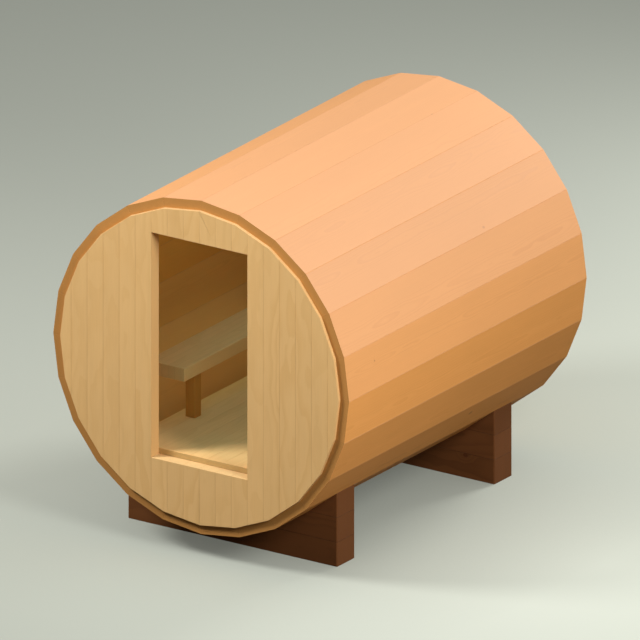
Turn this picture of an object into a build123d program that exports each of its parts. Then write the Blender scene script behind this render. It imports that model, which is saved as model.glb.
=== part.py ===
from build123d import *
import math
import os

# Barrel sauna: a barrel of long staves lying on two cradles, with a timber wall in each end,
# an open doorway in the front wall, a raised floor deck and a slab bench along each side.
# The frame has its origin on the ground under the middle of the barrel. +X is to the right
# as seen from the front, the doorway faces -Y and +Z is up. All sizes are millimetres.

# Barrel
stave_count = 24
barrel_radius = 1200
barrel_length = 2880
stave_thickness = 70
axis_height = 1380

# Stave joints: a bead along one edge of each stave lies in a cove along the next one
bead_radius = 18
bead_reach = 10
cove_clearance = 0.4
stave_arris = 1.5

# Croze: the groove near each end of the staves that holds the tongue round an end wall
croze_inset = 35
croze_width = 20
croze_depth = 12
tongue_clearance = 0.3

# End walls
wall_thickness = 94
wall_proud = 24

# Doorway, heights measured from the barrel's axis
door_width = 780
door_sill = -722
door_head = 898

# Floor deck and the bearers that carry it
deck_width = 1330
deck_thickness = 40
floor_bearer_thickness = 70
floor_bearer_spacing = 1000
floor_bearer_depth = 120
floor_bearer_foot = 220

# Benches, heights measured from the barrel's axis
seat_width = 306
seat_thickness = 96
seat_length = 1852
seat_inner_edge = 480
seat_top = -271
seat_rounding = 6
leg_size = 78
leg_outer_face = 579
leg_end_inset = 158
leg_arris = 4
bench_bearer_depth = 50
bench_bearer_housing = 14

# Stub tenon on a leg, and the play round it in the seat's mortise
tenon_size = 38
tenon_length = 28
tenon_play = 0.5

# Cradles
cradle_thickness = 214
cradle_spacing = 1906
cradle_corner = -3
cradle_arris = 6

# Worked out from the driving dimensions
step = 360 / stave_count
half_step = math.radians(step / 2)
barrel_apothem = barrel_radius * math.cos(half_step)
inner_apothem = barrel_apothem - stave_thickness
inner_radius = inner_apothem / math.cos(half_step)
joint_radius = (barrel_radius + inner_radius) / 2
wall_outer_face = barrel_length / 2 + wall_proud
wall_inner_face = wall_outer_face - wall_thickness
croze_outer = barrel_length / 2 - croze_inset
croze_inner = croze_outer - croze_width
deck_top = door_sill + deck_thickness
seat_bottom = seat_top - seat_thickness


# Corner of a regular barrel section, counted anticlockwise from +X as seen from the front
def corner(radius, index):
    angle = math.radians(index * step)
    return (radius * math.cos(angle), radius * math.sin(angle))


# The whole section of the barrel at a given distance from the axis to its flat sides
def barrel_section(apothem):
    radius = apothem / math.cos(half_step)
    return Polygon(*[corner(radius, index) for index in range(stave_count)], align=None)


# A section drawn as seen from the front, about the barrel's axis, made solid between two planes
def lengthwise(section, y_front, y_back):
    plane = Plane(origin=(0, y_back, axis_height), x_dir=(1, 0, 0), z_dir=(0, -1, 0))
    return extrude(plane * section, amount=y_back - y_front)


# A rectangle in the section, from its lowest to its highest corner
def rectangle(x_low, z_low, x_high, z_high):
    centre = Pos((x_low + x_high) / 2, (z_low + z_high) / 2)
    return centre * Rectangle(x_high - x_low, z_high - z_low)


# The same rectangle given from the middle outwards, on the left side (-1) or the right (1)
def side_rectangle(side, inner, z_low, outer, z_high):
    return rectangle(min(side * inner, side * outer), z_low, max(side * inner, side * outer), z_high)


# The round of the joint at a corner: its middle lies inside the stave that ends there
def joint_round(index, radius):
    angle = math.radians(index * step)
    x, z = corner(joint_radius, index)
    inset = bead_radius - bead_reach
    return Pos(x + inset * math.sin(angle), z - inset * math.cos(angle)) * Circle(radius)


# One stave: a straight plank with mitred edges, a bead, a cove and a croze near each end
def stave(index):
    plank = Polygon(
        corner(barrel_radius, index),
        corner(barrel_radius, index + 1),
        corner(inner_radius, index + 1),
        corner(inner_radius, index),
        align=None,
    )
    plank = chamfer(plank.vertices(), stave_arris)
    beaded = plank + joint_round(index + 1, bead_radius)
    section = beaded - joint_round(index, bead_radius + cove_clearance)
    croze = barrel_section(inner_apothem + croze_depth)
    solid = lengthwise(section, -barrel_length / 2, barrel_length / 2)
    solid -= lengthwise(croze, -croze_outer, -croze_inner)
    solid -= lengthwise(croze, croze_inner, croze_outer)
    return solid


# A piece of end wall: all that lies in the outline, with the tongue on its round edge.
# The end is -1 for the front wall and 1 for the rear one.
def wall_piece(outline, end):
    tongue_depth = croze_depth - tongue_clearance
    body = barrel_section(inner_apothem) & outline
    tongue = barrel_section(inner_apothem + tongue_depth) & outline
    body_faces = sorted((end * wall_inner_face, end * wall_outer_face))
    tongue_faces = sorted((
        end * (croze_inner + tongue_clearance),
        end * (croze_outer - tongue_clearance),
    ))
    return lengthwise(body, *body_faces) + lengthwise(tongue, *tongue_faces)


# The front wall is four pieces round the doorway
def front_wall():
    door = door_width / 2
    reach = barrel_radius
    return {
        "front_wall_left": wall_piece(rectangle(-reach, -reach, -door, reach), -1),
        "front_wall_right": wall_piece(rectangle(door, -reach, reach, reach), -1),
        "front_wall_over_door": wall_piece(rectangle(-door, door_head, door, reach), -1),
        "front_wall_under_door": wall_piece(rectangle(-door, -reach, door, door_sill), -1),
    }


# The rear wall closes the barrel with no opening
def rear_wall():
    return wall_piece(barrel_section(barrel_apothem), 1)


# The deck runs between the end walls and stops short of the staves at each side
def floor_deck():
    section = rectangle(-deck_width / 2, door_sill, deck_width / 2, deck_top)
    return lengthwise(section, -wall_inner_face, wall_inner_face)


# A floor bearer bridges the bottom of the barrel on two feet cut to the staves
def floor_bearer(y_centre):
    block = rectangle(-deck_width / 2, -inner_radius, deck_width / 2, door_sill)
    span = deck_width / 2 - floor_bearer_foot
    bridge = rectangle(-span, -inner_radius, span, door_sill - floor_bearer_depth)
    section = (block - bridge) & barrel_section(inner_apothem)
    y_front = y_centre - floor_bearer_thickness / 2
    return lengthwise(section, y_front, y_front + floor_bearer_thickness)


# Middle of a leg along the barrel: -1 for the front one, 1 for the rear one
def leg_place(end):
    return end * (seat_length / 2 - leg_end_inset - leg_size / 2)


# What stands in the middle of a leg's top end, as a tenon or as the hole for one
def leg_tenon(side, end, size, length):
    middle = leg_outer_face - leg_size / 2
    section = side_rectangle(side, middle - size / 2, seat_bottom, middle + size / 2, seat_bottom + length)
    return lengthwise(section, leg_place(end) - size / 2, leg_place(end) + size / 2)


# A rail from inside the leg out to the staves, cut to their slope, under the seat's back edge
def bench_bearer(side, end):
    inner = leg_outer_face - bench_bearer_housing
    low = seat_bottom - bench_bearer_depth
    rail = side_rectangle(side, inner, low, barrel_radius, seat_bottom)
    y_front = leg_place(end) - leg_size / 2
    return lengthwise(rail & barrel_section(inner_apothem), y_front, y_front + leg_size)


# A square post from the deck to the seat, with a stub tenon and a housing for the rail
def bench_leg(side, end):
    section = side_rectangle(side, leg_outer_face - leg_size, deck_top, leg_outer_face, seat_bottom)
    y_front = leg_place(end) - leg_size / 2
    post = lengthwise(section, y_front, y_front + leg_size)
    post = chamfer(post.edges().filter_by(Axis.Z), leg_arris)
    return post + leg_tenon(side, end, tenon_size, tenon_length) - bench_bearer(side, end)


# The seat is one thick slab with rounded edges, clear of the staves, mortised over its legs
def bench_seat(side):
    section = side_rectangle(side, seat_inner_edge, seat_bottom, seat_inner_edge + seat_width, seat_top)
    slab = lengthwise(section, -seat_length / 2, seat_length / 2)
    slab = fillet(slab.edges(), seat_rounding)
    for end in (-1, 1):
        slab -= leg_tenon(side, end, tenon_size + tenon_play, tenon_length + tenon_play)
    return slab


# A cradle is a thick block on the ground, cut to the barrel's outline, and as wide as the
# corner of the barrel that its horns reach
def cradle(y_centre):
    half_width = corner(barrel_radius, cradle_corner)[0]
    block = rectangle(-half_width, -axis_height, half_width, 0)
    y_front = y_centre - cradle_thickness / 2
    solid = lengthwise(block - barrel_section(barrel_apothem), y_front, y_front + cradle_thickness)
    return chamfer(solid.edges().filter_by(Axis.Z), cradle_arris)


# Every piece, by its name
def pieces():
    named = {}
    for index in range(stave_count):
        named[f"stave_{index + 1:02d}"] = stave(index)
    named.update(front_wall())
    named["rear_wall"] = rear_wall()
    named["floor_deck"] = floor_deck()
    for number, place in enumerate((-1, 0, 1)):
        named[f"floor_bearer_{number + 1}"] = floor_bearer(place * floor_bearer_spacing)
    for side_name, side in (("left", -1), ("right", 1)):
        named[f"{side_name}_bench_seat"] = bench_seat(side)
        for end_name, end in (("front", -1), ("rear", 1)):
            named[f"{side_name}_bench_leg_{end_name}"] = bench_leg(side, end)
            named[f"{side_name}_bench_bearer_{end_name}"] = bench_bearer(side, end)
    named["cradle_front"] = cradle(-cradle_spacing / 2)
    named["cradle_rear"] = cradle(cradle_spacing / 2)
    return named


os.makedirs("parts", exist_ok=True)
for name, solid in pieces().items():
    export_step(solid, f"parts/{name}.step")
    print(name, "written")
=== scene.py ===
# %% [markdown]
# # Dressing a barrel sauna in wood
# The object is a small cabin built like a barrel that lies on its side. Twenty-four straight
# planks, called staves, make the round wall. A flat wall of boards closes each end, and the
# front one has an open doorway. Inside there is a raised floor deck and a bench on each side.
# Two thick cradles hold the barrel off the ground.
#
# The shapes are already there as a fixed frame of named nodes, in metres, with +Z up and the
# doorway facing -Y. This script gives them their wood, the light and the camera. Nothing in
# the frame is moved. What we add is worked out from the frame's own measurements.

# %% Load the frame
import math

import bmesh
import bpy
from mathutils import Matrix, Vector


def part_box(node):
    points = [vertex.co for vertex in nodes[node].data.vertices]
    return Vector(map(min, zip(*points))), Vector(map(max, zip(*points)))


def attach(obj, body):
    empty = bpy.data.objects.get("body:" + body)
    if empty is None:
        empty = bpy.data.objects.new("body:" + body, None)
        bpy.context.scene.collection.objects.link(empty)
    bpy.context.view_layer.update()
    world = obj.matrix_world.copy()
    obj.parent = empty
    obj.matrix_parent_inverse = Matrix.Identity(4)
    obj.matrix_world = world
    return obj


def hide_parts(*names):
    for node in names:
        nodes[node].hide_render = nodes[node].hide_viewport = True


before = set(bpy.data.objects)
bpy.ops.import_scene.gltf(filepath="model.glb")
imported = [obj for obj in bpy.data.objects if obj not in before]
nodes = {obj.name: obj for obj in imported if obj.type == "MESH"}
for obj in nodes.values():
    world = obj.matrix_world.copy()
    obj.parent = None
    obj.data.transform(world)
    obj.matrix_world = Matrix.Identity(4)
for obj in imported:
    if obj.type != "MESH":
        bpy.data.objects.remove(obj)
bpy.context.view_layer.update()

# %% [markdown]
# ## Reading the sizes off the frame
# A script that copies sizes by hand goes wrong when the model changes, so we ask the frame.
# All the staves together tell us where the barrel's axis is, how wide the barrel is and how
# many flat sides it has.


def names_starting(*starts):
    return [name for name in sorted(nodes) if name.startswith(starts)]


def box_of(*starts):
    boxes = [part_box(name) for name in names_starting(*starts)]
    low = Vector([min(box[0][axis] for box in boxes) for axis in range(3)])
    high = Vector([max(box[1][axis] for box in boxes) for axis in range(3)])
    return low, high


barrel_low, barrel_high = box_of("stave_")
barrel_radius = (barrel_high.x - barrel_low.x) / 2
axis_height = (barrel_high.z + barrel_low.z) / 2
stave_count = len(names_starting("stave_"))
stave_angle = 2 * math.pi / stave_count
print(f"barrel: {stave_count} staves, radius {barrel_radius:.3f} m, axis {axis_height:.3f} m up")

# %% [markdown]
# ## The camera
# The photograph has no perspective: the far rim of the barrel is as large as the near one.
# An orthographic camera gives that. Two angles say where it looks from, and ortho_scale says
# how many metres the picture is wide.

# %% Make the camera
camera_turn = math.radians(33.8)
camera_elevation = math.radians(20.55)
camera_distance = 14.0
picture_width = 4.315
farthest_seen = 60.0
look_at = Vector((0.0, 0.0, 1.272))


def direction_to(turn, elevation):
    """Which way something stands from the object. The turn is to the right of the front."""
    level = math.cos(elevation)
    return Vector((level * math.sin(turn), -level * math.cos(turn), math.sin(elevation)))


def stand(thing, place, target):
    """Puts a camera or lamp at a place, looking at the target."""
    thing.location = place
    thing.rotation_euler = (place - target).to_track_quat("Z", "Y").to_euler()
    bpy.context.scene.collection.objects.link(thing)


camera_data = bpy.data.cameras.new("camera")
camera_data.type = "ORTHO"
camera_data.ortho_scale = picture_width
camera_data.clip_end = farthest_seen
camera = bpy.data.objects.new("camera", camera_data)
stand(camera, look_at + camera_distance * direction_to(camera_turn, camera_elevation), look_at)
bpy.context.scene.camera = camera
print("camera stands at", [round(value, 2) for value in camera.location])

# %% [markdown]
# ## The light
# Three soft lamps stand round the barrel. The key lamp at the front left shines through the
# doorway and makes the bright patch on the deck. The one at the right lights the staves from
# the side, and the one behind keeps their tops bright. Each is a wide disc, because a wide
# source gives soft shadows. Their strengths are such that a colour renders about as it is
# written, with the view transform on Standard.

# %% Light the studio
scene = bpy.context.scene
scene.view_settings.view_transform = "Standard"

world = bpy.data.worlds.new("studio")
world.use_nodes = True
world_light = 0.08
world.node_tree.nodes["Background"].inputs["Color"].default_value = (*[world_light] * 3, 1)
scene.world = world

# For each lamp: its turn and elevation in degrees, its distance and width in metres, its watts
LAMPS = {
    "key_lamp": (-45, 42, 12.0, 3.6, 1300),
    "right_lamp": (64, 28, 9.0, 3.0, 505),
    "back_lamp": (165, 23, 9.0, 3.0, 672),
}


def soft_lamp(name, width, power):
    data = bpy.data.lights.new(name, "AREA")
    data.shape = "DISK"
    data.size = width
    data.energy = power
    return bpy.data.objects.new(name, data)


for name, (turn, elevation, distance, width, power) in LAMPS.items():
    where = direction_to(math.radians(turn), math.radians(elevation))
    stand(soft_lamp(name, width, power), look_at + distance * where, look_at)
print("lamps outside:", len(LAMPS))

# %% [markdown]
# ## Light in the cabin
# Light that enters by the doorway is soon lost in a wooden barrel, and a plain render shows a
# black hole. A few weak wide lamps stand for what an eye would see there: one shines down from
# under the ceiling, one shines in from the doorway, and a strip under each bench shines on the
# staves behind it. Wood that light bounces off many times turns it red, so these lamps are cool
# to make up for that. They are hidden from the camera and from reflections.

# %% Put weak lamps in the cabin
doorway_low, doorway_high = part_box("floor_deck")[1].z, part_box("front_wall_over_door")[0].z
doorway_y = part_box("floor_deck")[0].y
doorway_middle = (doorway_low + doorway_high) / 2
seat_low, seat_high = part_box("right_bench_seat")
seat_middle = (seat_low.x + seat_high.x) / 2
ceiling_share = 0.70
ceiling_height = axis_height + ceiling_share * barrel_radius
below_seat = 0.07

# Across and along, in metres
ceiling_size = (0.9, 2.0)
doorway_size = (0.7, 1.3)
strip_size = (seat_high.y - seat_low.y, 0.12)

# Watts
ceiling_power = 5.8
doorway_power = 2.5
strip_power = 0.63

# Which way each lamp shines, and how far the strips are tilted down
down = (0, 0, -1)
inward = (0, 1, 0)
strip_tilt = -0.8

cool = (0.40, 0.87, 1.0)
greenish = (0.70, 1.0, 0.76)


def cabin_lamp(name, place, aim, size, power, colour):
    """A flat lamp inside the barrel that shines the way it aims."""
    lamp = soft_lamp(name, size[0], power)
    lamp.data.shape = "RECTANGLE"
    lamp.data.size_y = size[1]
    lamp.data.color = colour
    lamp.visible_camera = False
    lamp.visible_glossy = False
    stand(lamp, Vector(place), Vector(place) + Vector(aim))
    print(name, "at", [round(value, 2) for value in place])


under_ceiling = (0, 0, ceiling_height)
in_doorway = (0, doorway_y, doorway_middle)
cabin_lamp("ceiling_glow", under_ceiling, down, ceiling_size, ceiling_power, cool)
cabin_lamp("doorway_glow", in_doorway, inward, doorway_size, doorway_power, cool)
for side_name, side in (("left", -1), ("right", 1)):
    under_seat = (side * seat_middle, 0, seat_low.z - below_seat)
    outward = (side, 0, strip_tilt)
    cabin_lamp(side_name + "_seat_glow", under_seat, outward, strip_size, strip_power, greenish)

# %% [markdown]
# ## A small kit for shader nodes
# Wood is a formula: rings round a heart, seen where a plank cuts through them. Node by node
# that gets long, so we make a helper that lets us write the formula in code. Each function
# takes numbers or sockets and gives back the socket with the result.

# %% Make a helper that writes nodes as formulas
class Wiring:
    """Adds nodes to one node tree. Any value may be a number or another node's socket."""

    def __init__(self, tree):
        self.tree = tree

    def put(self, value, socket):
        if isinstance(value, bpy.types.NodeSocket):
            self.tree.links.new(value, socket)
        else:
            socket.default_value = value

    def add(self, kind, inputs, **settings):
        made = self.tree.nodes.new(kind)
        for name, value in settings.items():
            setattr(made, name, value)
        for name, value in inputs.items():
            self.put(value, made.inputs[name])
        return made

    def math(self, operation, *values):
        made = self.add("ShaderNodeMath", dict(enumerate(values)), operation=operation)
        return made.outputs[0]

    def plus(self, *values):
        total = values[0]
        for value in values[1:]:
            total = self.math("ADD", total, value)
        return total

    def times(self, *values):
        product = values[0]
        for value in values[1:]:
            product = self.math("MULTIPLY", product, value)
        return product

    def minus(self, first, second):
        return self.math("SUBTRACT", first, second)

    def over(self, first, second):
        return self.math("DIVIDE", first, second)

    def size(self, value):
        return self.math("ABSOLUTE", value)

    def length(self, x, y):
        return self.math("SQRT", self.plus(self.times(x, x), self.times(y, y)))

    def vector(self, x, y, z):
        return self.add("ShaderNodeCombineXYZ", {"X": x, "Y": y, "Z": z}).outputs[0]

    def parts(self, vector):
        return self.add("ShaderNodeSeparateXYZ", {0: vector}).outputs

    def step(self, value, start, end, low=0.0, high=1.0):
        """Goes smoothly from low to high while the value goes from start to end."""
        inputs = {"Value": value, "From Min": start, "From Max": end, "To Min": low, "To Max": high}
        return self.add("ShaderNodeMapRange", inputs, interpolation_type="SMOOTHSTEP").outputs[0]

    def noise(self, vector, scale, detail=2.0):
        """A cloudy value round zero, from about -0.3 to 0.3."""
        inputs = {"Vector": vector, "Scale": scale, "Detail": detail}
        return self.minus(self.add("ShaderNodeTexNoise", inputs).outputs[0], 0.5)

    def chance(self, number):
        """Three numbers from 0 to 1 that always belong to the same whole number."""
        made = self.add("ShaderNodeTexWhiteNoise", {"W": number}, noise_dimensions="1D")
        return self.parts(made.outputs["Color"])

    def mix(self, factor, first, second):
        inputs = {0: factor, 6: first, 7: second}
        return self.add("ShaderNodeMix", inputs, data_type="RGBA").outputs[2]

    def tint(self, colour, other):
        inputs = {0: 1.0, 6: colour, 7: other}
        return self.add("ShaderNodeMix", inputs, data_type="RGBA", blend_type="MULTIPLY").outputs[2]


NUMBER = "NodeSocketFloat"
VECTOR = "NodeSocketVector"
COLOUR = "NodeSocketColor"


def new_group(name, inputs, outputs):
    """An empty node group with named sockets, ready to be filled in."""
    group = bpy.data.node_groups.new(name, "ShaderNodeTree")
    for label, (kind, value) in inputs.items():
        socket = group.interface.new_socket(label, in_out="INPUT", socket_type=kind)
        socket.default_value = value
    for label, kind in outputs.items():
        group.interface.new_socket(label, in_out="OUTPUT", socket_type=kind)
    given = group.nodes.new("NodeGroupInput").outputs
    asked = group.nodes.new("NodeGroupOutput").inputs
    return group, Wiring(group), given, asked


print("node helper ready")

# %% [markdown]
# ## Where a point lies in its stave
# Grain has to follow each plank. A stave is one side of the barrel, so the angle round the
# barrel's axis says which stave a point is in. From the angle and the distance we get the
# place across the stave, its depth under the outer face, and how far the joint is.

# %% Group: place in a stave
def place_in_stave():
    inputs = {"Position": (VECTOR, (0, 0, 0))}
    outputs = {"Place": VECTOR, "Board": NUMBER, "Edge Distance": NUMBER}
    group, w, given, asked = new_group("place in a stave", inputs, outputs)
    x, y, z = w.parts(given["Position"])
    height = w.minus(z, axis_height)
    radius = w.length(x, height)
    turns = w.over(w.math("ARCTAN2", height, x), stave_angle)
    off_centre = w.times(w.minus(w.math("FRACT", turns), 0.5), stave_angle)
    across = w.times(radius, w.math("SINE", off_centre))
    outer_face = barrel_radius * math.cos(stave_angle / 2)
    depth = w.minus(outer_face, w.times(radius, w.math("COSINE", off_centre)))
    to_joint = w.minus(stave_angle / 2, w.size(off_centre))
    w.put(w.vector(across, depth, y), asked["Place"])
    w.put(w.math("FLOOR", turns), asked["Board"])
    w.put(w.times(radius, w.math("SINE", to_joint)), asked["Edge Distance"])
    return group


stave_place = place_in_stave()
print("made", stave_place.name)

# %% [markdown]
# ## Where a point lies in a row of boards
# The end walls, the deck and the benches are rows of equal boards side by side. Dividing the
# distance across the row by the board width gives the board's number, and the rest is the
# place within the board.

# %% Group: place in a row of boards
def place_in_row():
    inputs = {
        "Across": (NUMBER, 0),
        "Depth": (NUMBER, 0),
        "Along": (NUMBER, 0),
        "Board Width": (NUMBER, 0.1),
    }
    outputs = {"Place": VECTOR, "Board": NUMBER, "Edge Distance": NUMBER}
    group, w, given, asked = new_group("place in a row of boards", inputs, outputs)
    boards = w.over(given["Across"], given["Board Width"])
    across = w.times(w.minus(w.math("FRACT", boards), 0.5), given["Board Width"])
    w.put(w.vector(across, given["Depth"], given["Along"]), asked["Place"])
    w.put(w.math("FLOOR", boards), asked["Board"])
    w.put(w.minus(w.times(given["Board Width"], 0.5), w.size(across)), asked["Edge Distance"])
    return group


row_place = place_in_row()
print("made", row_place.name)

# %% [markdown]
# ## Grain
# A tree grows a pale band in spring and a darker one in summer. We measure how far a point is
# from the heart of the tree its board was cut from, let that distance wander a little along
# the trunk, and colour the bands. Because the rings are worked out in three dimensions, the
# same formula gives long arches on the face, straight lines on the edge and arcs on the cut
# end. Each board has its own heart and tone, taken from its number.
#
# A knot is where a branch passed: a small dark disc that pushes the rings aside. The share says
# how many of the places where a knot could be have one. Fine streaks along the board stand for
# the fibres.

# %% Group: knots
# One knot may be in each cell of a grid laid over the boards, in metres
knot_cell_across = 0.32
knot_cell_along = 0.85

# How long a knot is against its width, and how far from its middle its rim and its push reach
knot_squeeze = 0.72
knot_rim = (1.15, 0.75)
push_reach = (5.0, 0.8)


def knots():
    inputs = {
        "Place": (VECTOR, (0, 0, 0)),
        "Shift": (NUMBER, 0),
        "Knot Size": (NUMBER, 0.009),
        "Knot Share": (NUMBER, 0.1),
    }
    outputs = {"Knot": NUMBER, "Push": NUMBER}
    group, w, given, asked = new_group("knots", inputs, outputs)
    across, _, along = w.parts(given["Place"])
    cell_x = w.plus(w.over(across, knot_cell_across), given["Shift"])
    cell_y = w.over(along, knot_cell_along)
    cells = {"Vector": w.vector(cell_x, cell_y, 0), "Scale": 1.0}
    nearest = w.add("ShaderNodeTexVoronoi", cells, voronoi_dimensions="2D").outputs
    knot_x, knot_y, _ = w.parts(nearest["Position"])
    away_x = w.times(w.minus(cell_x, knot_x), knot_cell_across)
    away_y = w.times(w.minus(cell_y, knot_y), knot_cell_along * knot_squeeze)
    chance, _, size_chance = w.parts(nearest["Color"])
    there = w.math("LESS_THAN", chance, given["Knot Share"])
    knot_radius = w.times(given["Knot Size"], w.plus(0.5, size_chance))
    away = w.over(w.length(away_x, away_y), knot_radius)
    w.put(w.times(there, w.step(away, *knot_rim)), asked["Knot"])
    w.put(w.times(there, w.step(away, *push_reach)), asked["Push"])
    return group


knot_group = knots()
print("made", knot_group.name)

# %% Group: grain
# The heart of the tree: how far to the side it may be, and how deep under the face
heart_spread = 0.16
heart_depth = 0.05
heart_depth_spread = 0.09

# The noise along the trunk is drawn out, and each board starts at another place in it
stretch = 0.35
board_shift = 3.7
wander_scale = 3.0
cloud_scale = 5.0

# Where in a year's ring the dark band starts, is full and ends, and how faint it may be
band_rise = (0.30, 0.90)
band_fall = (1.0, 0.93)
faintest_band = 0.35

# Fibres to a metre across and along the board
fibres_across = 260.0
fibres_along = 6.0

knot_push = 1.6
knot_strength = 0.6
knot_tint = (0.55, 0.42, 0.35, 1)
knot_hollow = 0.3
fibre_tone = 0.10
cloud_tone = 0.10


def grain():
    inputs = {
        "Place": (VECTOR, (0, 0, 0)),
        "Board": (NUMBER, 0),
        "Ring Width": (NUMBER, 0.006),
        "Waver": (NUMBER, 0.012),
        "Knot Size": (NUMBER, 0.009),
        "Knot Share": (NUMBER, 0.0),
        "Pale": (COLOUR, (0.8, 0.5, 0.2, 1)),
        "Dark": (COLOUR, (0.6, 0.3, 0.1, 1)),
        "Tone Spread": (NUMBER, 0.1),
    }
    outputs = {"Colour": COLOUR, "Height": NUMBER, "Late Wood": NUMBER}
    group, w, given, asked = new_group("grain", inputs, outputs)
    across, depth, along = w.parts(given["Place"])
    heart_chance, depth_chance, tone_chance = w.chance(given["Board"])

    # Each board sees another stretch of the noise, drawn out along the grain
    shift = w.times(given["Board"], board_shift)
    slow_place = w.vector(across, depth, w.plus(w.times(along, stretch), shift))

    knot = use(w, knot_group, {
        "Place": given["Place"],
        "Shift": shift,
        "Knot Size": given["Knot Size"],
        "Knot Share": given["Knot Share"],
    })

    # Distance from the heart, wandering along the trunk
    heart_x = w.times(w.minus(heart_chance, 0.5), heart_spread)
    heart_y = w.plus(heart_depth, w.times(depth_chance, heart_depth_spread))
    radius = w.length(w.minus(across, heart_x), w.minus(depth, heart_y))
    wander = w.times(w.noise(slow_place, wander_scale, detail=3.0), given["Waver"])
    shoved = w.times(knot["Push"], given["Ring Width"], knot_push)
    rings = w.over(w.plus(radius, wander, shoved), given["Ring Width"])
    phase = w.math("FRACT", rings)
    year, _, _ = w.chance(w.math("FLOOR", rings))
    band = w.times(w.step(phase, *band_rise), w.step(phase, *band_fall))
    late = w.times(band, w.plus(faintest_band, w.times(year, 1 - faintest_band)))

    # Fibres are long and very thin, and clouds of tone are about a hand wide
    fibre_x = w.times(across, fibres_across)
    fibre_y = w.times(depth, fibres_across)
    fibre_z = w.times(along, fibres_along)
    fibre = w.noise(w.vector(fibre_x, fibre_y, fibre_z), scale=1.0, detail=3.0)
    cloud = w.noise(slow_place, cloud_scale)

    banded = w.mix(late, given["Pale"], given["Dark"])
    knot_colour = w.tint(given["Dark"], knot_tint)
    knotted = w.mix(w.times(knot["Knot"], knot_strength), banded, knot_colour)
    own_tone = w.times(w.minus(tone_chance, 0.5), given["Tone Spread"])
    bright = w.plus(1.0, own_tone, w.times(fibre, fibre_tone), w.times(cloud, cloud_tone))
    w.put(w.tint(knotted, w.vector(bright, bright, bright)), asked["Colour"])
    relief = w.plus(w.times(late, 0.5), w.times(fibre, 0.5))
    w.put(w.minus(relief, w.times(knot["Knot"], knot_hollow)), asked["Height"])
    w.put(late, asked["Late Wood"])
    return group


def use(w, group, inputs):
    """Places a group in a tree with its own values and gives back its outputs."""
    made = w.tree.nodes.new("ShaderNodeGroup")
    made.node_tree = group
    for name, value in inputs.items():
        w.put(value, made.inputs[name])
    return made.outputs


grain_group = grain()
print("made", grain_group.name, "with", len(grain_group.nodes), "nodes")

# %% [markdown]
# ## Dirt in the joints
# Where two boards meet there is a small V, and some dirt settles in it. The V is cut in the
# mesh, and the group only gives a mask that is 1 in its bottom and fades up its sides.

# %% Group: joint dirt
def joint_dirt():
    inputs = {"Edge Distance": (NUMBER, 0.1), "Reach": (NUMBER, 0.003)}
    group, w, given, asked = new_group("joint dirt", inputs, {"Dirt": NUMBER})
    w.put(w.step(given["Edge Distance"], given["Reach"], 0.0), asked["Dirt"])
    return group


dirt_group = joint_dirt()
print("made", dirt_group.name)

# %% [markdown]
# ## Rubbed corners
# Hands, feet and rain wear a corner first. The Bevel node gives the normal that the surface
# would have if its corners were round. Near a corner that differs from the true normal, and
# the difference, broken up by noise, is the mask.

# %% Group: rubbed corners
# How alike the two normals are where rubbing starts and where it is full
corner_range = (0.99, 0.80)
patch_scale = 14.0
patch_range = (-0.10, 0.12)


def rubbed_corners():
    inputs = {"Position": (VECTOR, (0, 0, 0)), "Width": (NUMBER, 0.01)}
    group, w, given, asked = new_group("rubbed corners", inputs, {"Rubbed": NUMBER})
    rounded = w.add("ShaderNodeBevel", {"Radius": given["Width"]}, samples=6).outputs[0]
    normal = w.add("ShaderNodeNewGeometry", {}).outputs["Normal"]
    same = w.add("ShaderNodeVectorMath", {0: rounded, 1: normal}, operation="DOT_PRODUCT")
    corner = w.step(same.outputs["Value"], *corner_range)
    patches = w.step(w.noise(given["Position"], patch_scale, detail=4.0), *patch_range)
    w.put(w.times(corner, patches), asked["Rubbed"])
    return group


rubbed_group = rubbed_corners()
print("made", rubbed_group.name)

# %% [markdown]
# ## One recipe for every wood
# Every wooden piece is finished in the same order: grain, joints, then what time has done to
# it, and on the staves a painted highlight and painted shade. The recipe keeps the shader itself
# in the material and leaves the groups to work out colours and masks. Cut ends drink more oil
# than faces, so a mask from the true normal darkens them. On the end walls the same mask makes
# the cut ends paler instead, a painted highlight.

# %% Write the recipe
fibre_relief = 0.0004
late_wood_gloss = 0.08

# How squarely a surface faces along the grain before it counts as a cut end
end_range = (0.7, 0.95)


def new_material(name):
    material = bpy.data.materials.new(name)
    material.use_nodes = True
    material.node_tree.nodes.clear()
    w = Wiring(material.node_tree)
    shader = w.add("ShaderNodeBsdfPrincipled", {})
    output = w.add("ShaderNodeOutputMaterial", {"Surface": shader.outputs[0]})
    output.is_active_output = True
    return material, w, shader


def position(w):
    """The point being shaded, in metres from the origin on the ground."""
    return w.add("ShaderNodeTexCoord", {}).outputs["Object"]


def facing(w, direction):
    """How much the surface faces a direction, from -1 to 1."""
    normal = w.add("ShaderNodeNewGeometry", {}).outputs["True Normal"]
    made = w.add("ShaderNodeVectorMath", {0: normal, 1: direction}, operation="DOT_PRODUCT")
    return made.outputs["Value"]


def finish_wood(w, shader, colour, pattern, roughness):
    """Joins the colour and the relief to the shader. The late wood is a little glossier."""
    w.put(colour, shader.inputs["Base Color"])
    smoother = w.times(pattern["Late Wood"], late_wood_gloss)
    w.put(w.minus(roughness, smoother), shader.inputs["Roughness"])
    bump = w.add("ShaderNodeBump", {"Height": pattern["Height"], "Distance": fibre_relief})
    w.put(bump.outputs[0], shader.inputs["Normal"])


def paint(piece_names, material):
    for name in piece_names:
        mesh = bpy.data.objects[name].data
        mesh.materials.clear()
        mesh.materials.append(material)


print("recipe ready")
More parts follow.
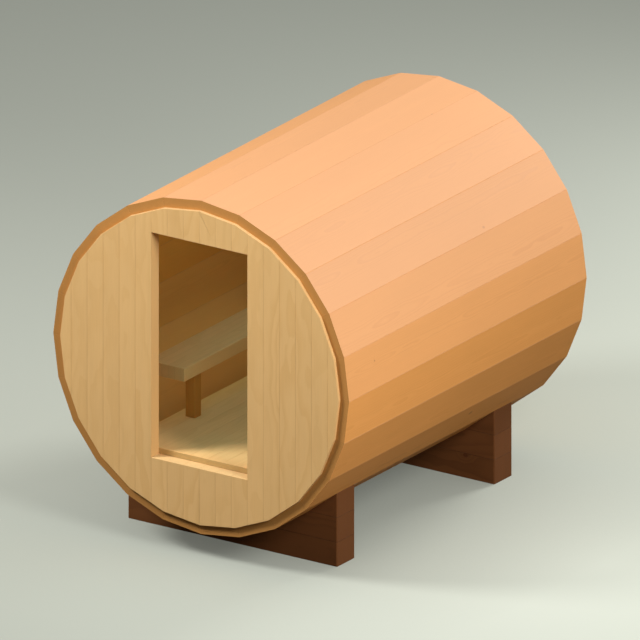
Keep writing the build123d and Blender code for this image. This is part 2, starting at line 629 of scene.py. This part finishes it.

# %% [markdown]
# ## Staves
# The staves are an orange oiled softwood. The side that faces up and to the right is painted
# paler and bluer, a painted highlight where the lamps light them most. Inside, the wood is
# painted darker and browner, a painted shade for the dim cabin. The cut ends at the rim are
# darker too.

# %% Wood of the staves
# Painted highlight: where a stave faces this way, its colour is mixed towards a paler, bluer one
highlight_direction = (0.42, 0, 0.91)
highlight_range = (0.2, 1.0)
highlight_strength = 0.62
highlight_colour = (0.775, 0.437, 0.265, 1)

# How deep under the outer face the inner one begins, in metres
inner_face = (0.066, 0.069)
# Painted shade: the inner faces are tinted darker and browner, for the dim cabin
cabin_shade_tint = (0.95, 0.88, 0.55, 1)
stave_end_tint = (0.61, 0.65, 0.66, 1)
stave_dirt = 0.12
stave_dirt_colour = (0.20, 0.08, 0.02, 1)


def stave_wood():
    material, w, shader = new_material("stave_wood")
    place = use(w, stave_place, {"Position": position(w)})
    pattern = use(w, grain_group, {
        "Place": place["Place"],
        "Board": place["Board"],
        "Ring Width": 0.0065,
        "Waver": 0.05,
        "Knot Size": 0.010,
        "Knot Share": 0.12,
        "Pale": (0.95, 0.420, 0.112, 1),
        "Dark": (0.88, 0.365, 0.088, 1),
        "Tone Spread": 0.04,
    })
    # Painted highlight on the side that the lamps light most
    lit_top = w.step(facing(w, highlight_direction), *highlight_range)
    highlighted = w.mix(w.times(lit_top, highlight_strength), pattern["Colour"], highlight_colour)
    _, depth, _ = w.parts(place["Place"])
    inside = w.step(depth, *inner_face)
    # Painted shade on the inner faces
    shaded_inside = w.mix(inside, highlighted, w.tint(highlighted, cabin_shade_tint))
    cut_end = w.step(w.size(facing(w, (0, 1, 0))), *end_range)
    ended = w.mix(cut_end, shaded_inside, w.tint(pattern["Colour"], stave_end_tint))
    dirt = use(w, dirt_group, {"Edge Distance": place["Edge Distance"], "Reach": 0.004})
    dirty = w.mix(w.times(dirt["Dirt"], stave_dirt), ended, stave_dirt_colour)
    shader.inputs["Specular IOR Level"].default_value = 0.12
    finish_wood(w, shader, dirty, pattern, roughness=0.68)
    return material


paint(names_starting("stave_"), stave_wood())
print("painted", stave_count, "staves")

# %% [markdown]
# ## Sawing a wall into boards
# In the frame each end wall is a few solid slabs. The real wall is made of upright boards with
# a V along each joint. We copy a slab's mesh, saw it at every board's edge, close the saw cuts
# and ease the corners with a Bevel modifier. The boards fill exactly the slab's own shape, so
# they may stand for it.

# %% Make the saw
board_arris = 0.0018

# Two places closer than this are the same one, and faces that turn less than this are one face
same_place = 1e-5
same_face = 0.01

# A slab's side may miss a joint by this much and still lie on it
side_play = 1e-4
sharp_corner = math.radians(30)


def saw(board, axis, place, side):
    """Cuts a mesh at a place on an axis, keeps the side above (1) or below (-1), and closes it."""
    normal = Vector((0, 0, 0))
    normal[axis] = side
    point = Vector((0, 0, 0))
    point[axis] = place
    everything = board.verts[:] + board.edges[:] + board.faces[:]
    cut = bmesh.ops.bisect_plane(
        board,
        geom=everything,
        plane_co=point,
        plane_no=normal,
        clear_inner=True,
    )
    edges = [part for part in cut["geom_cut"] if isinstance(part, bmesh.types.BMEdge)]
    bmesh.ops.edgeloop_fill(board, edges=edges)


def sawn_boards(node, axis, width, new_name):
    """Replaces a node by boards of a width across an axis, with joints at whole multiples of it."""
    low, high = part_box(node)
    first = math.floor((low[axis] + side_play) / width)
    last = math.ceil((high[axis] - side_play) / width)
    everything = bmesh.new()
    for number in range(first, last):
        board = bmesh.new()
        board.from_mesh(nodes[node].data)
        bmesh.ops.remove_doubles(board, verts=board.verts[:], dist=same_place)
        if number > first:
            saw(board, axis, number * width, 1)
        if number < last - 1:
            saw(board, axis, (number + 1) * width, -1)
        bmesh.ops.dissolve_limit(
            board,
            angle_limit=same_face,
            verts=board.verts[:],
            edges=board.edges[:],
        )
        one = bpy.data.meshes.new("board")
        board.to_mesh(one)
        board.free()
        everything.from_mesh(one)
        bpy.data.meshes.remove(one)
    mesh = bpy.data.meshes.new(new_name)
    everything.to_mesh(mesh)
    everything.free()
    sawn = bpy.data.objects.new(new_name, mesh)
    bpy.context.scene.collection.objects.link(sawn)
    ease_corners(sawn, board_arris)
    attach(sawn, "root")
    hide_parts(node)
    return sawn


def ease_corners(piece, width):
    bevel = piece.modifiers.new("eased corners", "BEVEL")
    bevel.width = width
    bevel.segments = 2
    bevel.limit_method = "ANGLE"
    bevel.angle_limit = sharp_corner


print("saw ready")

# %% [markdown]
# ## End walls
# The wall boards are as wide as a sixth of the doorway, so that the joints line up with its
# sides. One function makes the pale wood of the walls, the deck and the benches. It is told
# which way the boards run and how wide they are. This wood is picked clear of knots, because
# people sit and lean on it.

# %% Pale wood
# The pale wood and its rings, and the orange wood of the staves, darkened as painted shade
PALE_WOOD = ((0.875, 0.540, 0.216), (0.830, 0.495, 0.186))
SHADED_ORANGE_WOOD = ((0.576, 0.248, 0.044), (0.526, 0.208, 0.034))
board_dirt = 0.15
board_dirt_colour = (0.22, 0.12, 0.05, 1)


def board_wood(name, run, lie, board_width, wood, end_tint=(0.86, 0.84, 0.82)):
    """run is the axis that the grain follows and lie the axis through the boards' thickness."""
    material, w, shader = new_material(name)
    parts = dict(zip("xyz", w.parts(position(w))))
    across = next(axis for axis in "xyz" if axis not in (run, lie))
    row = use(w, row_place, {
        "Across": parts[across],
        "Depth": parts[lie],
        "Along": parts[run],
        "Board Width": board_width,
    })
    pattern = use(w, grain_group, {
        "Place": row["Place"],
        "Board": row["Board"],
        "Ring Width": 0.0045,
        "Waver": 0.03,
        "Pale": (*wood[0], 1),
        "Dark": (*wood[1], 1),
        "Tone Spread": 0.035,
    })
    run_direction = tuple(float(axis == run) for axis in "xyz")
    cut_end = w.step(w.size(facing(w, run_direction)), *end_range)
    ended = w.mix(cut_end, pattern["Colour"], w.tint(pattern["Colour"], (*end_tint, 1)))
    dirt = use(w, dirt_group, {"Edge Distance": row["Edge Distance"]})
    dirty = w.mix(w.times(dirt["Dirt"], board_dirt), ended, board_dirt_colour)
    shader.inputs["Specular IOR Level"].default_value = 0.25
    finish_wood(w, shader, dirty, pattern, roughness=0.65)
    return material


print("pale wood ready")

# %% Board the end walls
front_low, front_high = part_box("front_wall_over_door")
boards_over_door = 6
wall_board = (front_high.x - front_low.x) / boards_over_door
# Painted highlight: the walls' cut ends, such as the sill and the rim's edges, are tinted paler and
# bluer
wall_end_highlight_tint = (0.94, 1.01, 1.14)
wall_wood = board_wood("wall_wood", "z", "y", wall_board, PALE_WOOD, wall_end_highlight_tint)
for node in names_starting("front_wall", "rear_wall"):
    wall = sawn_boards(node, 0, wall_board, node + "_boards")
    paint([wall.name], wall_wood)
    print(wall.name, len(wall.data.polygons), "faces")

# %% [markdown]
# ## Floor deck
# The deck is ten boards that run from one end wall to the other.

# %% Board the deck
deck_low, deck_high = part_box("floor_deck")
deck_board_count = 10
deck_board = (deck_high.x - deck_low.x) / deck_board_count
deck_end_tint = (0.70, 0.76, 0.74)
bearer_board = 0.12
deck_wood = board_wood("deck_wood", "y", "z", deck_board, PALE_WOOD, deck_end_tint)
deck = sawn_boards("floor_deck", 0, deck_board, "deck_boards")
paint([deck.name], deck_wood)
bearer_wood = board_wood("bearer_wood", "x", "y", bearer_board, PALE_WOOD)
paint(names_starting("floor_bearer"), bearer_wood)
print("deck boards", round(deck_board, 3), "m wide")

# %% [markdown]
# ## Benches
# Each seat is glued up from narrow strips that run along it. The legs' grain is upright and
# that of the rails runs outward to the staves. A leg or a rail is one piece of wood, so its
# board is given as wider than it is.

# %% Wood of the benches
seat_strip = 0.051
whole_piece = 1.0
seat_wood = board_wood("seat_wood", "y", "z", seat_strip, PALE_WOOD)
# Painted shade: the legs and rails under the benches get the darkened orange wood
leg_wood = board_wood("leg_wood", "z", "y", whole_piece, SHADED_ORANGE_WOOD)
rail_wood = board_wood("rail_wood", "x", "y", whole_piece, SHADED_ORANGE_WOOD)
for side in ("left", "right"):
    paint([f"{side}_bench_seat"], seat_wood)
    paint(names_starting(f"{side}_bench_leg"), leg_wood)
    paint(names_starting(f"{side}_bench_bearer"), rail_wood)
print("painted the benches")

# %% [markdown]
# ## Cradles
# Each cradle is built up from three layers of beam under a dark brown stain. The stain hides
# most of the grain, but it is thinner where a corner has been rubbed.

# %% Wood of the cradles
cradle_layers = 3
cradle_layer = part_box("cradle_front")[1].z / cradle_layers

# The boards of the two cradles are numbered this far apart, so that their grain differs
numbers_apart = 7.0
rub_width = 0.012
rubbing = 0.5
rubbed_colour = (0.34, 0.16, 0.07, 1)
cradle_dirt = 0.5
cradle_dirt_colour = (0.03, 0.012, 0.005, 1)


def cradle_wood():
    material, w, shader = new_material("cradle_wood")
    x, y, z = w.parts(position(w))
    row = use(w, row_place, {"Across": z, "Depth": y, "Along": x, "Board Width": cradle_layer})
    cradle_number = w.math("GREATER_THAN", y, 0.0)
    pattern = use(w, grain_group, {
        "Place": row["Place"],
        "Board": w.plus(row["Board"], w.times(cradle_number, numbers_apart)),
        "Ring Width": 0.006,
        "Waver": 0.03,
        "Knot Size": 0.012,
        "Knot Share": 0.25,
        "Pale": (0.186, 0.066, 0.019, 1),
        "Dark": (0.144, 0.049, 0.014, 1),
        "Tone Spread": 0.10,
    })
    corners = use(w, rubbed_group, {"Position": position(w), "Width": rub_width})
    rubbed = w.mix(w.times(corners["Rubbed"], rubbing), pattern["Colour"], rubbed_colour)
    dirt = use(w, dirt_group, {"Edge Distance": row["Edge Distance"], "Reach": 0.004})
    dirty = w.mix(w.times(dirt["Dirt"], cradle_dirt), rubbed, cradle_dirt_colour)
    shader.inputs["Specular IOR Level"].default_value = 0.15
    finish_wood(w, shader, dirty, pattern, roughness=0.68)
    return material


cradle_finish = cradle_wood()
for node in names_starting("cradle_"):
    layers = sawn_boards(node, 2, cradle_layer, node + "_layers")
    paint([layers.name], cradle_finish)
print("painted the cradles")

# %% [markdown]
# ## The studio floor
# The floor isn't part of the object. It looks pale to the camera,
# but sends back less light than a pale floor would, so that the underside of the barrel stays
# in shade. Light Path tells the two kinds of ray apart. What the camera sees also has a faint
# glow, which keeps the shadows soft. It is strongest at one place on the floor and fades away
# from there. A weaker one lies to the left, and far off it rises a little again, where the
# lamps don't reach. Ambient Occlusion takes it back where the barrel stands close. A low camera
# sees past the floor's end, so the world behind it is given the colour of the far floor.

# %% Lay the floor
def lay_floor(half_width):
    mesh = bpy.data.meshes.new("studio_floor")
    turns = [(-1, -1), (1, -1), (1, 1), (-1, 1)]
    mesh.from_pydata([(half_width * x, half_width * y, 0) for x, y in turns], [], [(0, 1, 2, 3)])
    floor = bpy.data.objects.new("studio_floor", mesh)
    bpy.context.scene.collection.objects.link(floor)
    return floor


floor_half_width = 40.0
floor_colour = (0.300, 0.315, 0.272, 1)
floor_bounce = (0.055, 0.046, 0.033, 1)
far_colour = (0.37, 0.39, 0.335, 1)
glow_colour = (0.97, 1.02, 0.88, 1)

# Each glow changes over a range of distances from its middle, from one strength to another
glow_middle = (2.4, 0.0)
wide_glow = (7.0, -8.0, 0.15, 0.84)
far_glow = (11.5, 14.0, 0.0, 0.2)
left_glow_middle = (-3.9, 1.2)
left_glow = (4.5, 0.0, 0.0, 0.065)

# How near the barrel the glow is taken back, and what share of it
shade_reach = 1.5
shade_share = 0.65


def seen_rays(w):
    """1 for the rays that show a thing to the camera, straight or in a reflection."""
    rays = w.add("ShaderNodeLightPath", {}).outputs
    seen = w.math("MAXIMUM", rays["Is Camera Ray"], rays["Is Glossy Ray"])
    return w.math("MAXIMUM", seen, rays["Is Transmission Ray"])


def floor_paint():
    material, w, shader = new_material("floor_paint")
    seen = seen_rays(w)
    w.put(w.mix(seen, floor_bounce, floor_colour), shader.inputs["Base Color"])
    x, y, _ = w.parts(position(w))
    away = w.length(w.minus(x, glow_middle[0]), w.minus(y, glow_middle[1]))
    away_left = w.length(w.minus(x, left_glow_middle[0]), w.minus(y, left_glow_middle[1]))
    near = w.plus(w.step(away, *wide_glow), w.step(away_left, *left_glow))
    glow = w.plus(near, w.step(away, *far_glow))
    sky = w.add("ShaderNodeAmbientOcclusion", {"Distance": shade_reach}, samples=8).outputs["AO"]
    open_air = w.plus(1 - shade_share, w.times(sky, shade_share))
    shader.inputs["Emission Color"].default_value = glow_colour
    w.put(w.times(seen, glow, open_air), shader.inputs["Emission Strength"])
    shader.inputs["Roughness"].default_value = 0.9
    shader.inputs["Specular IOR Level"].default_value = 0.0
    return material


def paint_world():
    w = Wiring(world.node_tree)
    shader = world.node_tree.nodes["Background"]
    light = tuple(shader.inputs["Color"].default_value)
    w.put(w.mix(seen_rays(w), light, far_colour), shader.inputs["Color"])


floor = lay_floor(floor_half_width)
floor.data.materials.append(floor_paint())
paint_world()
print("laid", floor.name)

# %% [markdown]
# ## The last lines
# The last call brings the scene up to date. Our pieces have to stay inside the solids' own
# box. We write both boxes to a file, and the last call checks the frame and writes the
# table of pieces.

# %% Finish
bpy.context.view_layer.update()
